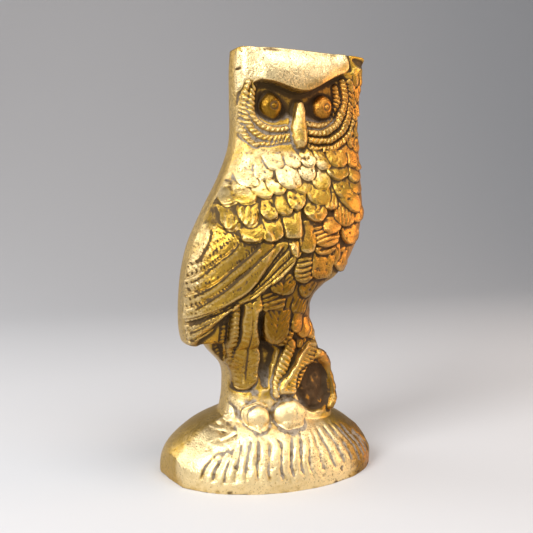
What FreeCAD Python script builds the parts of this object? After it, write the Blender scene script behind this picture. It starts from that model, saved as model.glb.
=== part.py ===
# Hollow cast brass owl: a front half and a rear half, brazed together round
# the side seam.  Millimetres, +Z up, face of the owl towards -Y, breast +X.
import os
import math
import FreeCAD
import Part

os.makedirs("parts", exist_ok=True)
V = FreeCAD.Vector

# ---------------------------------------------------------------- sizes, mm
HEIGHT = 165.0          # underside of the rim to the flat crown
BODY_WIDTH = 76.0       # widest reach, bird's back to breast
BODY_DEPTH = 45.0       # widest reach, front to rear
BASE_LENGTH = 88.4      # mound before its two ends are ground
BASE_DEPTH = 69.0
MOUND_RISE = 25.0
WALL = 4.0              # thickness of the casting
SEAM_Y = -4.0           # plane in which the two halves meet
BRAZE_WIDTH = 2.6       # filler metal, across the seam
BRAZE_DEPTH = 2.8       # filler metal, into the wall
END_GRIND = 2.2         # taken off each end of the mound
END_ANGLE = 7.5         # how far the ground ends turn off square, degrees
FEATHER_STEP = 1.0      # rise of one layer of feathers over the next
DISC_RADIUS = 11.5      # dish of feathers round each eye
EYE_RADIUS = 4.4
BEAK_LENGTH = 16.0
BEAK_WIDTH = 6.6
BEAK_TIP = 1.0          # radius of the blunt end
LEG_RADIUS = 3.4
TOE_RADIUS = 5.2
PERCH_RADIUS = 8.0      # curl of the perch beside the legs
PERCH_BAR = 3.0
GROOVE_COUNT = 19
GROOVE_WIDTH = 1.5
GROOVE_DEPTH = 1.0

# The outlines below are drawn for a figure 165 high, 76 wide and 45 deep,
# on a mound 88.4 long.
SX = BODY_WIDTH / 76.0
SY = BODY_DEPTH / 45.0
SZ = HEIGHT / 165.0
SM = BASE_LENGTH / 88.4
FAR = 200.0             # longer than anything here, for cutting tools

# z, bird's back x, breast x, front y, rear y, squareness of the front
BODY = [
    (53.0, -37.0, 18.0, -20.0, 13.0, 2.6),
    (62.0, -37.8, 14.2, -23.0, 15.0, 2.6),
    (70.0, -37.5, 16.0, -24.5, 16.5, 2.6),
    (79.0, -36.6, 27.0, -25.5, 18.0, 2.6),
    (90.0, -34.0, 34.6, -26.0, 19.0, 2.6),
    (104.0, -27.5, 38.2, -25.0, 19.0, 2.6),
    (118.0, -20.5, 37.6, -20.0, 16.0, 3.0),
    (128.0, -17.0, 36.6, -16.5, 14.0, 4.0),
    (146.0, -16.5, 36.6, -15.0, 12.0, 5.0),
    (158.0, -17.0, 37.6, -15.5, 8.5, 6.0),
    (165.0, -17.0, 38.6, -15.0, 4.0, 6.0),
]
# tail and legs, between the body and the mound
COLUMN = [
    (10.0, -25.0, 26.0, -21.0, 14.0, 2.6),
    (22.0, -22.0, 25.0, -20.0, 13.0, 2.6),
    (34.0, -20.0, 25.0, -18.0, 12.5, 2.8),
    (43.0, -20.8, 21.5, -17.0, 12.5, 2.8),
    (51.0, -27.5, 18.4, -17.5, 12.5, 2.8),
    (62.0, -29.0, 13.0, -18.0, 12.5, 2.8),
]
# height and reach of the mound, as shares of its rise and half length
MOUND = [
    (0.00, 1.00),
    (0.14, 1.00),
    (0.30, 0.985),
    (0.46, 0.935),
    (0.64, 0.83),
    (0.80, 0.70),
    (1.00, 0.44),
]

# Outlines seen from the front, (x, z).
WING = [(-60, 104), (-31, 103), (-31, 94), (-24, 91), (-14, 90), (0, 93),
        (0, 86), (-10, 77), (-18, 71), (-27, 65), (-34, 53), (-60, 53)]
PRIMARIES = [
    [(-60, 74), (-26, 90), (-21, 89), (-60, 66)],
    [(-60, 62), (-17, 88), (-12, 87.5), (-60, 56)],
    [(-60, 51), (-7, 87.5), (-2, 88), (-2, 84), (-30, 64), (-34, 56)],
]
BROW = [(-13, 160), (-15, 151), (-10, 151.5), (-4, 150), (5.5, 145), (9, 146.5),
        (19, 153), (29, 159.5), (31, 163), (-10, 163)]
TAIL = [
    [(-18.5, 68), (-12.5, 68), (-12.5, 38), (-15.5, 35), (-18.5, 38)],
    [(-11.8, 68), (-5.8, 64), (-5.8, 40), (-8.5, 36.5), (-11.8, 39)],
]
# Breast and thigh feathers: centre x, centre z, width, length, layer.
SCALES = [
    (-18, 109, 9, 10, 1), (-8, 112, 10, 10, 1), (1, 116, 9, 12, 2),
    (10, 116, 8, 9, 1), (19, 118, 8, 9, 2), (27, 116, 8, 9, 1),
    (-22, 102, 8, 9, 1), (-13, 103.5, 9, 10, 2), (-4, 104, 8, 10, 1),
    (6, 102, 9, 11, 2), (15, 106, 8, 10, 1), (24, 106, 9, 11, 2),
    (-15, 95, 8, 8, 1), (-6, 96, 8, 9, 2), (3, 94, 8, 9, 1),
    (12, 93, 9, 10, 2), (21, 94, 9, 10, 1),
    (3, 82, 9, 12, 1), (13, 83, 9, 12, 2), (-5, 75, 9, 8, 2),
    (-8, 68, 10, 7, 1), (-7, 59, 10, 13, 2), (5, 72, 7, 9, 1),
]
EYES = [(-5.5, 142.0), (18.5, 143.0)]
BEAK = (5.6, 134.0)


def half_profile(st):
    """Half widths and reaches of one outline, at full size."""
    z, back, breast, front, rear, square = st
    middle = 0.5 * (back + breast) * SX
    half = 0.5 * (breast - back) * SX
    return z * SZ, middle, half, (-4.0 - front) * SY, (rear + 4.0) * SY, square


def ring(st, inset, count=24):
    """Closed level outline, drawn in by `inset` all round."""
    z, middle, half, front, rear, square = half_profile(st)
    pts = []
    for i in range(count):
        t = 2.0 * math.pi * i / count
        c, s = math.cos(t), math.sin(t)
        power = 2.0 / (square if s < 0 else 2.4)
        reach = (front if s < 0 else rear) - inset
        x = middle + (half - inset) * math.copysign(abs(c) ** power, c)
        y = SEAM_Y + reach * math.copysign(abs(s) ** power, s)
        pts.append(V(x, y, z))
    curve = Part.BSplineCurve()
    curve.interpolate(Points=pts, PeriodicFlag=True)
    return Part.Wire([curve.toShape()])


def stack(stations, inset):
    """Loft through the outlines; its two ends are drawn in as well."""
    moved = [list(st) for st in stations]
    moved[0][0] += inset / SZ
    moved[-1][0] -= inset / SZ
    return Part.makeLoft([ring(st, inset) for st in moved], True, False)


def mound(inset):
    """Low dome on an oval plan.  Drawn in, it stays open underneath."""
    wires = []
    for share_z, share_r in MOUND:
        z = share_z * (MOUND_RISE - inset)
        a = 0.5 * BASE_LENGTH * share_r - inset
        b = 0.5 * BASE_DEPTH * share_r - inset
        oval = Part.Ellipse(V(0, 0, z), a, b)
        wires.append(Part.Wire([oval.toShape()]))
    dome = Part.makeLoft(wires, True, False)
    if inset > 0:
        a = 0.5 * BASE_LENGTH - inset
        b = 0.5 * BASE_DEPTH - inset
        mouth = Part.Face(Part.Wire([Part.Ellipse(V(0, 0, -2.0), a, b).toShape()]))
        dome = dome.fuse(mouth.extrude(V(0, 0, 2.5)))
    return dome


def figure(inset):
    """Whole outer form of the owl, drawn in by `inset`."""
    column = [list(st) for st in COLUMN]
    column[0][0] -= inset / SZ
    column[-1][0] += inset / SZ
    legs = stack(column, inset)
    return stack(BODY, inset).fuse([legs, mound(inset)])


def front_y(x, z):
    """Where the plain front of the body lies at (x, z), full size."""
    rows = [half_profile(st) for st in BODY]
    z = min(max(z, rows[0][0]), rows[-1][0])
    for low, high in zip(rows, rows[1:]):
        if z <= high[0]:
            break
    f = (z - low[0]) / (high[0] - low[0])
    z, middle, half, reach, rear, square = [a + f * (b - a) for a, b in zip(low, high)]
    u = min(abs(x - middle) / half, 0.98)
    return SEAM_Y - reach * (1.0 - u ** square) ** (1.0 / square)


def prism(outline):
    """Outline seen from the front, run through the whole front half."""
    pts = [V(x * SX, -FAR, z * SZ) for x, z in outline]
    pts.append(pts[0])
    return Part.Face(Part.makePolygon(pts)).extrude(V(0, FAR + SEAM_Y, 0))


def scale_outline(x, z, width, length):
    """Feather with a straight top and a rounded lower end."""
    half = 0.5 * width
    low = z - 0.5 * length
    pts = [(x - half, z + 0.5 * length), (x + half, z + 0.5 * length)]
    for degrees in range(0, 181, 30):
        t = math.radians(degrees)
        pts.append((x + half * math.cos(t), low + half - half * math.sin(t)))
    return pts


def layer(form, outlines):
    """Raised layer: the enlarged form, kept only inside the outlines."""
    prisms = [prism(o) for o in outlines]
    tool = prisms[0]
    if len(prisms) > 1:
        tool = tool.fuse(prisms[1:])
    return form.common(tool)


def beak(x, y, z, width, length):
    """Round above, tapering down to a blunt tip."""
    top = V(x, y, z + 0.5 * length - 0.5 * width)
    tip = V(x, y + 0.1 * width, z - 0.5 * length + BEAK_TIP)
    run = tip.sub(top)
    taper = Part.makeCone(0.5 * width, BEAK_TIP, run.Length, top, run)
    return taper.fuse([Part.makeSphere(0.5 * width, top), Part.makeSphere(BEAK_TIP, tip)])


def limb(a, b, radius):
    """Round bar from a to b with rounded ends."""
    run = b.sub(a)
    bar = Part.makeCylinder(radius, run.Length, a, run)
    return bar.fuse([Part.makeSphere(radius, a), Part.makeSphere(radius, b)])


def face_cuts():
    """Dished hollows in which the eyes sit, kept below the brow."""
    dishes = []
    for x, z in EYES:
        px, pz = x * SX, z * SZ
        y = front_y(px, pz)
        dish = Part.makeCylinder(DISC_RADIUS, 2.2, V(px, y - 0.6, pz), V(0, 1, 0))
        dishes.append(dish)
    return dishes[0].fuse(dishes[1:])


def face_parts():
    """Eyes, the rings of feathers round them, and the beak."""
    parts = []
    for x, z in EYES:
        px, pz = x * SX, z * SZ
        y = front_y(px, pz)
        parts.append(Part.makeSphere(EYE_RADIUS, V(px, y + 1.2, pz)))
        for share in (0.62, 0.9):
            torus = Part.makeTorus(DISC_RADIUS * share, 1.2, V(px, y + 1.1, pz), V(0, 1, 0))
            parts.append(torus)
    bx, bz = BEAK[0] * SX, BEAK[1] * SZ
    parts.append(beak(bx, front_y(bx, bz) + 0.2, bz, BEAK_WIDTH, BEAK_LENGTH))
    return parts


def leg_parts():
    """Two feathered legs, the toes they stand on, a claw and the perch."""
    toe_z = MOUND_RISE - 1.0
    foot = V(-6.0 * SX, SEAM_Y - 15.0 * SY, 34.0 * SZ)
    parts = [
        limb(V(-2.0 * SX, SEAM_Y - 13.5 * SY, 56.0 * SZ), foot, LEG_RADIUS),
        limb(V(11.0 * SX, SEAM_Y - 14.5 * SY, 56.0 * SZ), foot, LEG_RADIUS),
        Part.makeSphere(TOE_RADIUS * 0.9, V(-13.0 * SX, SEAM_Y - 16.5 * SY, toe_z)),
        Part.makeSphere(TOE_RADIUS * 1.1, V(-1.5 * SX, SEAM_Y - 17.0 * SY, toe_z)),
        limb(V(-25.0 * SM, SEAM_Y - 13.0 * SY, toe_z + 1.0),
             V(-27.0 * SM, SEAM_Y - 15.0 * SY, toe_z - 6.0), 2.4),
        limb(V(10.0 * SX, SEAM_Y - 13.0 * SY, toe_z + 14.0),
             V(10.0 * SX, SEAM_Y - 14.0 * SY, toe_z - 2.0), PERCH_BAR * 0.8),
    ]
    return parts


def perch():
    """End of the perch, curled round a blind hollow, on a web behind it."""
    middle = V(17.0 * SX, SEAM_Y - 10.0 * SY, 33.0 * SZ)
    curl = Part.makeTorus(PERCH_RADIUS, PERCH_BAR, middle, V(0, 1, 0))
    web = Part.makeCylinder(PERCH_RADIUS + 0.8 * PERCH_BAR, SEAM_Y - middle.y, middle, V(0, 1, 0))
    return [web, curl]


def mound_grooves():
    """Furrows that run down the front of the mound from below the feet."""
    skin = mound(-0.5).cut(mound(GROOVE_DEPTH))
    slabs = []
    for i in range(GROOVE_COUNT):
        angle = math.radians(-150.0 + 118.0 * i / (GROOVE_COUNT - 1))
        slab = Part.makeBox(FAR, GROOVE_WIDTH, MOUND_RISE * 0.68,
                            V(BASE_DEPTH * 0.26, -0.5 * GROOVE_WIDTH, MOUND_RISE * 0.12))
        slab.rotate(V(0, 0, 0), V(0, 0, 1), math.degrees(angle))
        slabs.append(slab)
    return skin.common(Part.makeCompound(slabs))


def ground_ends():
    """Flats left where the seam was ground off at both ends of the mound."""
    cuts = []
    for side in (-1, 1):
        face_x = 0.5 * BASE_LENGTH - END_GRIND
        block = Part.makeBox(FAR, FAR, FAR, V(face_x, -0.5 * FAR, -0.5 * FAR))
        block.rotate(V(face_x, 0, 0), V(0, 0, 1), -END_ANGLE)
        if side < 0:
            block = block.mirror(V(0, 0, 0), V(1, 0, 0))
        block.translate(V(0, SEAM_Y, 0))
        low = Part.makeBox(2 * FAR, 2 * FAR, MOUND_RISE * 0.45, V(-FAR, -FAR, 0))
        cuts.append(block.common(low))
    return cuts


def half_space(front):
    """Everything on one side of the seam plane."""
    start = -FAR if front else SEAM_Y
    depth = FAR + SEAM_Y if front else FAR
    return Part.makeBox(2 * FAR, depth, 2 * FAR, V(-FAR, start, -FAR))


def relief():
    """Everything that stands proud of the plain front."""
    low = stack(BODY, -FEATHER_STEP)
    high = stack(BODY, -2.0 * FEATHER_STEP)
    first = [scale_outline(*s[:4]) for s in SCALES if s[4] == 1]
    second = [scale_outline(*s[:4]) for s in SCALES if s[4] == 2]
    parts = [
        layer(low, [WING, BROW] + first),
        layer(high, PRIMARIES + second),
        layer(stack(COLUMN, -1.6 * FEATHER_STEP), TAIL),
    ]
    return parts


def save(shape, name):
    solids = sorted(shape.Solids, key=lambda s: -s.Volume)
    print(name, "solids", len(solids), "volume", round(shape.Volume / 1000.0, 2), "cm3",
          "valid", shape.isValid())
    solids[0].exportStep("parts/" + name + ".step")


# ------------------------------------------------------------------ build
outer = figure(0.0)
for cut in ground_ends():
    outer = outer.cut(cut)
cavity = figure(WALL)
core = figure(BRAZE_DEPTH)

# ring-shaped band along the seam, outside the core: this is the braze
slab = Part.makeBox(2 * FAR, BRAZE_WIDTH, 2 * FAR, V(-FAR, SEAM_Y - 0.5 * BRAZE_WIDTH, -FAR))
band = slab.cut(core)

cast = outer.cut(face_cuts())
cast = cast.fuse(relief() + face_parts() + leg_parts() + perch())
cast = cast.cut(mound_grooves())
under = Part.makeBox(2 * FAR, 2 * FAR, FAR, V(-FAR, -FAR, -FAR))
cast = cast.cut(cavity).cut(under).cut(band)
save(cast.common(half_space(True)), "front_casting")
save(cast.common(half_space(False)), "back_casting")

braze = outer.common(band).cut(cavity)
top_z = HEIGHT - BRAZE_DEPTH
above = Part.makeBox(2 * FAR, 2 * FAR, FAR, V(-FAR, -FAR, top_z))
left = Part.makeBox(FAR, 2 * FAR, top_z, V(-FAR, -FAR, 0))
right = Part.makeBox(FAR, 2 * FAR, top_z, V(0, -FAR, 0))
save(braze.common(above), "braze_crown")
save(braze.common(left), "braze_back")
save(braze.common(right), "braze_breast")
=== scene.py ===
# %% [markdown]
# # A cast brass owl
# The owl is a hollow sand casting in two halves, brazed together round the side and filed
# flush. The front half carries all the modelling: face, feathers, wing, tail, legs and the
# furrowed mound. The lesson builds it the way a pattern maker would: a plain form first, then
# a relief carved over it, then the hollow, the split and the seam, and last the old brass.

# %% Load the frame
import math
import bpy
import numpy as np
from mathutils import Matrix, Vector


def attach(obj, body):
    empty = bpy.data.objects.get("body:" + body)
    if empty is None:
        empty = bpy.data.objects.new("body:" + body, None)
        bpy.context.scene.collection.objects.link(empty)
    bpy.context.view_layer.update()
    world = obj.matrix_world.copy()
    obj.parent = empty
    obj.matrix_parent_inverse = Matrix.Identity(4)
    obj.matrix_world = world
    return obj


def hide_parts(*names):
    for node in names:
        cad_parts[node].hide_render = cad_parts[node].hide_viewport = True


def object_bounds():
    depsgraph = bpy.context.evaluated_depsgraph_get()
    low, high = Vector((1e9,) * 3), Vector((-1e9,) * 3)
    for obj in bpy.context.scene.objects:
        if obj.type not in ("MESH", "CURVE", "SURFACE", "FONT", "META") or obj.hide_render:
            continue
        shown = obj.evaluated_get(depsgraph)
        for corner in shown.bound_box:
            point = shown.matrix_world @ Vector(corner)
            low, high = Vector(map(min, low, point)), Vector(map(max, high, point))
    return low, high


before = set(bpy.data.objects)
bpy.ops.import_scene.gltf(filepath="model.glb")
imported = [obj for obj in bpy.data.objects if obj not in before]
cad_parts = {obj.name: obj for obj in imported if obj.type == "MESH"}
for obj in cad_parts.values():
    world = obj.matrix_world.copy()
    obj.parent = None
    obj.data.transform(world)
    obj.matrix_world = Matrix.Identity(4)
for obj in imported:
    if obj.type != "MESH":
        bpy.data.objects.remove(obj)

def plain_box(box):
    """Two corners as plain lists of numbers."""
    return [[float(v) for v in corner] for corner in box]

cad_box = plain_box(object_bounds())
LOW_Z, HIGH_Z = cad_box[0][2], cad_box[1][2]
DRAWN_HEIGHT = 165.0                # the outlines are drawn for a figure this high
HEIGHT = (HIGH_Z - LOW_Z) * 1000.0
MM = (HIGH_Z - LOW_Z) / DRAWN_HEIGHT
print("CAD box in mm", [[round(v * 1000, 2) for v in c] for c in cad_box])

# %% [markdown]
# The camera stands to the owl's right-hand side, a little above the middle of the figure and
# about twice its height away. It is made first, so that every later step can be looked at.

# %% Camera
CAMERA_TURN = math.radians(-25.0)    # round the figure, from straight in front
CAMERA_DROP = math.radians(3.9)      # it looks slightly down
CAMERA_RUN = 0.308                   # distance over the floor
CAMERA_RISE = 0.102
LENS = 51.5

camera_data = bpy.data.cameras.new("camera")
camera_data.sensor_width = 36.0
camera_data.lens = LENS
camera_data.clip_start = 0.01
camera = bpy.data.objects.new("camera", camera_data)
camera.location = (CAMERA_RUN * math.sin(CAMERA_TURN), -CAMERA_RUN * math.cos(CAMERA_TURN),
                   CAMERA_RISE)
camera.rotation_euler = (math.pi / 2 - CAMERA_DROP, 0.0, CAMERA_TURN)
bpy.context.scene.collection.objects.link(camera)
bpy.context.scene.camera = camera
print("camera at", [round(v, 3) for v in camera.location])

# %% [markdown]
# On the real owl the front mould was drawn off in one straight pull, so nothing on the front
# hides behind anything else. The whole relief can therefore be one sheet of heights, in
# millimetres, over the front view (x across, z up). The carver's tools below work on it.

# %% A sheet to carve
STEP = 0.25
X0, X1, Z0, Z1 = -46.0, 46.0, -2.0, 168.0
xs, zs = np.arange(X0, X1 + STEP / 2, STEP), np.arange(Z0, Z1 + STEP / 2, STEP)
X, Z = np.meshgrid(xs, zs)

def ease(v):
    """0 to 1 with soft ends."""
    v = np.clip(v, 0, 1)
    return v * v * (3 - 2 * v)

def blur(a, reach):
    """Average over a neighbourhood, three times over; reach in mm."""
    n = max(1, int(round(reach / STEP)))
    for axis in (0, 1, 0, 1, 0, 1):
        pad = np.pad(a, [(n + 1, n) if i == axis else (0, 0) for i in (0, 1)], mode="edge")
        run, size = np.cumsum(pad, axis=axis), pad.shape[axis]
        a = (np.take(run, np.arange(2 * n + 1, size), axis=axis)
             - np.take(run, np.arange(0, size - 2 * n - 1), axis=axis)) / (2 * n + 1)
    return a

def noise(size, seed):
    """Even random hills of about one size, in mm."""
    a = blur(np.random.default_rng(seed).standard_normal(X.shape), size)
    return a / a.std()

# A hand never cuts quite true: every outline wanders by a little.
WANDER_X, WANDER_Z = 0.2 * noise(1.25, 21), 0.2 * noise(1.25, 22)
# Grain of the casting sand: small sharp pits, and soft lumps.
PITS = 0.35 * noise(0.5, 4) - np.clip(-noise(0.25, 3) - 0.7, 0, 3)

print("sheet of", X.shape[1], "by", X.shape[0], "heights")

# %% [markdown]
# A few points with their corners rounded give a line or an outline. Every tool works in a
# window round its points, and asks how far each place of the sheet is from them.

# %% Lines and outlines
ROUNDS = 2                      # how often corners are cut off to round them

def curve(points):
    """Round the corners of a line."""
    p = np.array(points, float)
    for _ in range(ROUNDS):
        a, b = p[:-1], p[1:]
        p = np.concatenate([p[:1], np.stack([0.75 * a + 0.25 * b, 0.25 * a + 0.75 * b], 1)
                            .reshape(-1, 2)[1:-1], p[-1:]])
    return p

def loop(points):
    """Round the corners of a closed outline."""
    p = np.array(points, float)
    for _ in range(ROUNDS):
        q = np.roll(p, -1, axis=0)
        p = np.stack([0.75 * p + 0.25 * q, 0.25 * p + 0.75 * q], 1).reshape(-1, 2)
    return p

class Window:
    """The part of the sheet round some points."""

    def __init__(self, points, margin, wander=1.0):
        p = np.array(points, float)
        (a, c), (b, d) = p.min(0) - margin, p.max(0) + margin
        i, j = np.searchsorted(zs, [c, d]), np.searchsorted(xs, [a, b])
        self.at = (slice(*i), slice(*j))
        self.x = X[self.at] + wander * WANDER_X[self.at]
        self.z = Z[self.at] + wander * WANDER_Z[self.at]

def to_line(x, z, p):
    """Distance to a line, share of the way along it, side, and its length."""
    seg = np.diff(p, axis=0)
    size = np.hypot(*seg.T)
    run = np.concatenate([[0], np.cumsum(size)])
    best, share, side = np.full(x.shape, 1e9), np.zeros(x.shape), np.zeros(x.shape)
    for i, (step, length) in enumerate(zip(seg, size)):
        ux, uz = step / length
        dx, dz = x - p[i, 0], z - p[i, 1]
        s = np.clip(dx * ux + dz * uz, 0, length)
        ex, ez = dx - s * ux, dz - s * uz
        d = np.hypot(ex, ez)
        near = d < best
        best = np.where(near, d, best)
        share = np.where(near, run[i] + s, share)
        side = np.where(near, np.sign(ux * ez - uz * ex), side)
    return best, share / run[-1], side, run[-1]

def to_outline(x, z, points):
    """Distance to a closed outline, negative inside it."""
    p = loop(points)
    d = to_line(x, z, np.concatenate([p, p[:1]]))[0]
    inside = np.zeros(x.shape, bool)
    for (ax, az), (bx, bz) in zip(p, np.roll(p, -1, axis=0)):
        if az != bz:
            inside ^= ((az > z) != (bz > z)) & (x < (bx - ax) * (z - az) / (bz - az) + ax)
    return np.where(inside, -d, d)

def zone(points, edge):
    """1 inside an outline and 0 outside it, with a soft edge."""
    return ease(0.5 - to_outline(X, Z, points) / edge)

print("a window round one point has", Window([(0, 0)], 5).x.shape, "heights")

# %% [markdown]
# Two sheets grow together: the large masses, and the surface as carved so far. A mass is
# raised or sunk with soft edges. A feather is laid over what is there, with a dark crease
# round it and the marks of the graver on it.

# %% Tools for masses and feathers
base = np.zeros(X.shape)        # the large masses
sheet = np.zeros(X.shape)       # the surface as carved so far
shade = np.random.default_rng(5)      # no two feathers lie quite alike

def mass(points, rise, edge, weight=None):
    """Raise or sink the large masses inside an outline."""
    w = Window(points, edge + 2)
    share = ease(0.5 - to_outline(w.x, w.z, points) / edge)
    base[w.at] += rise * share * (1 if weight is None else weight[w.at])

def lay(w, d, value, edge, crease):
    """Put a new surface where d is negative, with a fine dark crease round it."""
    share = ease(0.5 - d / edge)
    under = sheet[w.at] - crease * np.exp(-((d - 0.35) / 0.38) ** 2) * (d > -0.2)
    sheet[w.at] = under * (1 - share) + value * share

def cuts(kind, s, t, width, length, at, turn):
    """Marks of the graver on one feather."""
    a = math.radians(turn)
    across = t * width / 2 * math.cos(a) + s * length * math.sin(a)
    down = -t * width / 2 * math.sin(a) + s * length * math.cos(a)
    grain = PITS[at]
    if kind == "bars":
        return 0.3 * np.cos(2 * np.pi * down / 1.85) * ease((1 - s) * 6) + 0.05 * grain
    if kind == "strokes":
        return 0.2 * np.cos(2 * np.pi * across / 1.7) * ease(s * 3) + 0.07 * grain
    if kind == "leaf":
        rib = np.abs(t) * width / 2
        return (0.13 * np.cos(2 * np.pi * (s * length + 1.1 * rib) / 2.3)
                - 0.3 * np.exp(-(rib / 0.4) ** 2) + 0.06 * grain)
    return {"pitted": 0.36, "rough": 0.24}.get(kind, 0.09) * grain

def feather(tip, width, length, lean, kind, rise, dome, square=0.45, turn=0, crease=0.45):
    """One overlapping feather, its free end at the tip, its root up the slope."""
    a = math.radians(lean)
    ux, uz = math.sin(a), math.cos(a)
    root = (tip[0] + ux * length, tip[1] + uz * length)
    w = Window([tip, root], width * 0.8 + 1.5)
    dx, dz = w.x - root[0], w.z - root[1]
    s = -(dx * ux + dz * uz) / length
    t = (dx * uz - dz * ux) / (width / 2)
    e = np.clip((s - square) / (1 - square), 0, 1)
    half = np.sqrt(np.clip(1 - e ** 2.4, 0, 1))
    inside = (np.abs(t) < half) & (s > 0) & (s < 1)
    depth = np.minimum((half - np.abs(t)) * width / 2 * np.clip(0.35 + half, 0, 1),
                       np.minimum((1 - s) * length, s * length + 0.3))
    aside = np.maximum(np.abs(t) - half, 0) * width / 2
    off = np.maximum(np.maximum(aside, (s - 1) * length), -s * length)
    d = np.where(inside, -np.clip(depth, 0, None), off)
    tilt, lift = shade.uniform(-0.16, 0.16), shade.uniform(-0.12, 0.12)
    value = (base[w.at] + rise * (0.15 + 0.85 * ease(s * 1.25))
             + dome * (1 - t ** 2) * (0.4 + 0.6 * s))
    value = value + tilt * t + lift + cuts(kind, s, t, width, length, w.at, turn)
    lay(w, d, value, edge=0.6, crease=crease * (s > 0.12) * ease(s * 3))

print("marks of the graver: bars, strokes, leaf, pitted, rough, plain")

# %% [markdown]
# The other tools: a ribbon follows a line, a lump is a rounded boss, a groove is one cut with
# a V-shaped tool, and a shingle is the long edge of a flight feather.

# %% Ribbons, lumps, grooves and shingles
def ribbon(points, width, rise=1.0, dome=0.5, kind="plain", crease=0.45, taper=(0.6, 1, 0.75),
           pitch=1.4, slope=1.0, edge=0.5, start=1.0, beads=0.3):
    """A long strip along a line, plain, or cut across into beads or bars."""
    p = curve(points)
    w = Window(p, width * 0.8 + 1.5)
    d, s, side, length = to_line(w.x, w.z, p)
    half = 0.5 * width * np.interp(s, [0, 0.3, 1], taper)
    t = side * d / half
    value = rise * (start + (1 - start) * ease(s * 2.5)) + dome * (1 - np.clip(t ** 2, 0, 1.3))
    if kind == "beads":
        value = value + beads * np.cos(2 * np.pi * (s * length - slope * np.abs(t) * half) / pitch)
    if kind == "bars":
        value = value + beads * np.cos(2 * np.pi * (s * length + slope * t * half) / pitch)
    lay(w, d - half, base[w.at] + value + 0.09 * PITS[w.at], edge=edge, crease=crease)

def lump(centre, rx, rz, height, tilt=0, power=2.0, crease=0.4, ground=None):
    """A rounded boss."""
    w = Window([centre], max(rx, rz) + 2)
    a = math.radians(tilt)
    dx, dz = w.x - centre[0], w.z - centre[1]
    u = (dx * math.cos(a) + dz * math.sin(a)) / rx
    v = (dz * math.cos(a) - dx * math.sin(a)) / rz
    r = (np.abs(u) ** power + np.abs(v) ** power) ** (1 / power)
    ground = base[w.at] if ground is None else ground
    value = ground + height * np.sqrt(np.clip(1 - r ** 2, 0, 1)) + 0.06 * PITS[w.at]
    lay(w, (r - 1) * min(rx, rz), value, edge=0.5, crease=crease)

def groove(points, width, depth, fade=0.15):
    """A cut with a V-shaped tool, running out at both ends."""
    p = curve(points)
    w = Window(p, width + 1.5, 0.4)
    d, s, side, length = to_line(w.x, w.z, p)
    sheet[w.at] -= (depth * ease(s / fade) * ease((1 - s) / fade)
                    * np.exp(-(d / (0.5 * width)) ** 2))

def shingle(points, rise, cut=0.75, reach=2.0):
    """A long feather edge: a fine cut, the surface lifted below it and falling away."""
    p = curve(points)
    w = Window(p, 6, 0.3)
    d, s, side, length = to_line(w.x, w.z, p)
    ends = ease(s / 0.06 + 0.3) * ease((1 - s) / 0.06)
    lifted, sunk = rise * np.exp(-d / reach), -0.45 * rise * np.exp(-d / 1.3)
    sheet[w.at] += ends * np.where(side > 0, lifted, sunk)
    sheet[w.at] -= ends * cut * np.exp(-(d / 0.34) ** 2)

print("four more tools ready")

# %% [markdown]
# First the large masses, as a modeller lays them on before any detail: the heavy brow, the
# dished face, the slab of the folded wing, the sunken belly and the hollows between tail,
# legs and perch.

# %% Masses
FACE_DEPTH = -3.1
mass([(-16, 170), (-15, 158), (-11.5, 152.4), (-8, 152), (-3, 150.8), (2, 149.4), (7, 148.6),
      (11, 149.2), (16, 152.4), (22, 155.2), (28.6, 158.4), (29, 163), (29, 170)], 1.0, 1.0,
     ease((X + 14) / 7) * ease((166.5 - Z) / 7))
inside_face = zone([(-11, 152.4), (-6, 152), (0, 150.4), (5, 149), (10, 149), (14, 151),
                    (20, 154.4), (27.5, 157.8), (31, 151), (31.8, 143), (30.5, 136), (26, 130),
                    (20, 127), (14, 126.4), (8, 128), (4, 128.2), (-2, 128.6), (-9, 127.8),
                    (-14, 129), (-16.2, 135), (-16, 143), (-14.4, 149)], 1.0)
# the discs are dished, and deepest round the eyes; a ridge is left between them
away = np.hypot(np.maximum(np.maximum(-7.5 - X, X - 21), 0), np.clip(142.5 - Z, 0, None))
base += inside_face * (FACE_DEPTH + 2.8 * ease(away / 7.5))
base += (inside_face * 1.5 * np.exp(-((X - 6.4) / 3.2) ** 2)
         * ease((Z - 126) / 4) * ease((143 - Z) / 7))
mass([(-48, 118), (4, 118), (3, 104), (1.5, 96), (0.8, 90), (0, 85), (-5, 80), (-12, 75),
      (-18.5, 70.2), (-24, 68), (-28.2, 63), (-31.5, 58.5), (-35, 54), (-39, 50), (-48, 50)], 1.6,
     1.8, ease((113 - Z) / 17))
mass([(-24, 104), (-14, 99), (-9, 92), (-11.6, 86.5), (-14.4, 80), (-19, 74), (-27, 69), (-30, 66),
      (-45, 60), (-45, 104), (-34, 104)], 0.9, 1.6, ease((104 - Z) / 11))
mass([(-14, 73), (-3, 79), (6, 84), (20, 82), (20, 70), (8, 62), (6, 50), (-12, 50)], -0.6, 4)
mass([(-36, 57), (-28, 64), (-24, 68), (-24, 52), (-22, 46), (-21, 40), (-30, 46)], -1.3, 1.8)
mass([(-14.8, 66), (-12.5, 66), (-11, 54), (-5, 51.5), (-4, 48), (-6, 42), (-7.5, 36), (-10, 35.5),
      (-10.5, 40), (-10.8, 50), (-13, 56)], -2.4, 2.2)
mass([(-22, 32), (-15, 34.2), (-5, 34), (3, 33), (7, 27), (9, 18), (5, 12), (-8, 11), (-20, 14)],
     1.3, 7)
mass([(5.5, 41), (10, 43), (16, 43.2), (20, 40), (21, 35), (20.5, 27), (14, 24.6), (8, 25.5),
      (5, 30), (4.2, 36)],
     -2.4, 2.2)
base += (2.6 * ease((X + 15) / 13) * ease((31 - X) / 17)
         * np.clip(1 - ((Z - 151.5) / 12.5) ** 2, 0, 1) * (Z > 144) * (1 - inside_face))
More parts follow.
